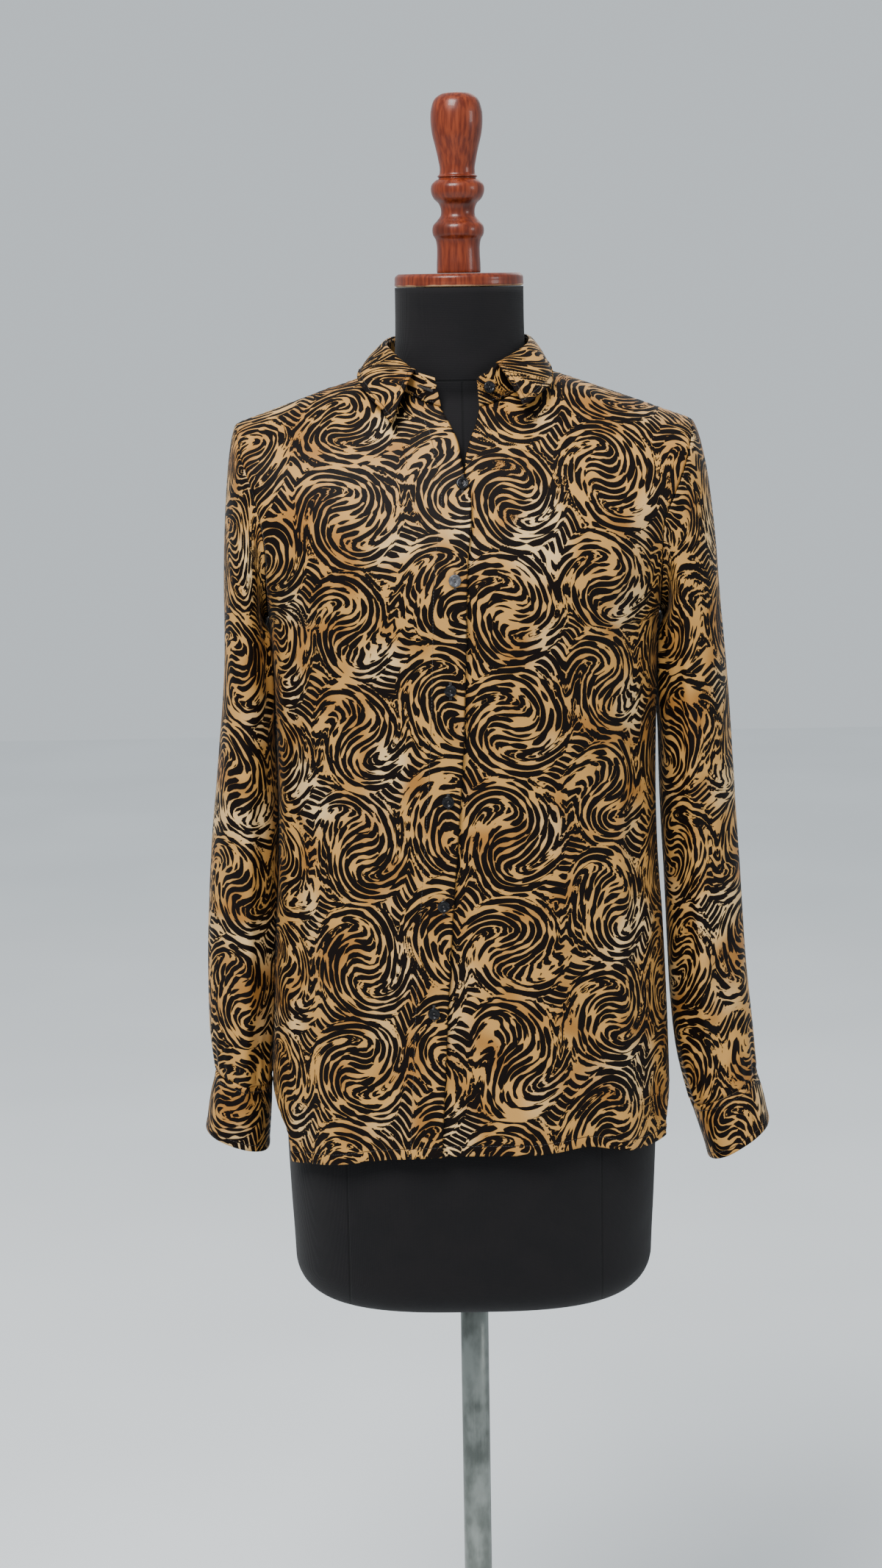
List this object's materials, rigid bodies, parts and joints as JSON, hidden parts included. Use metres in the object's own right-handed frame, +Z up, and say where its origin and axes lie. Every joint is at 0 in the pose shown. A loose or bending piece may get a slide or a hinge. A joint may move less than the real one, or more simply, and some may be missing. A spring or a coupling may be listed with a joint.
{
  "type": "blouse on a dress form",
  "caption": "Long-sleeved button-through blouse with a turned-down collar, shown on a limbless dress form with a turned knob, a steel pole and a round base.",
  "frame": {"origin": "centre of the base's underside, on the floor", "axes": "+Z up along the pole, -Y the way the blouse's front faces, +X towards the viewer's right, which is the wearer's left"},
  "size_m": [0.5055, 0.36, 1.6605],
  "materials": {
    "printed_satin": "satin with a tiger-stripe print in black, tan and cream",
    "black_jersey": "matt knitted jersey",
    "lacquered_wood": "red-brown gloss lacquer",
    "tube_steel": "drawn tube",
    "base_paint": "black, semi-matt",
    "button_plastic": "polished"
  },
  "bodies": {
    "root": {"front_right": "printed_satin", "front_left": "printed_satin", "back": "printed_satin", "sleeve_right": "printed_satin", "sleeve_left": "printed_satin", "cuff_right": "printed_satin", "cuff_left": "printed_satin", "collar_stand": "printed_satin", "collar_leaf": "printed_satin", "button_1": "button_plastic", "button_2": "button_plastic", "button_3": "button_plastic", "button_4": "button_plastic", "button_5": "button_plastic", "button_6": "button_plastic", "button_stand": "button_plastic", "form_body": "black_jersey", "neck_plate": "lacquered_wood", "finial": "lacquered_wood", "pole": "tube_steel", "base": "base_paint"}
  },
  "joints": []
}
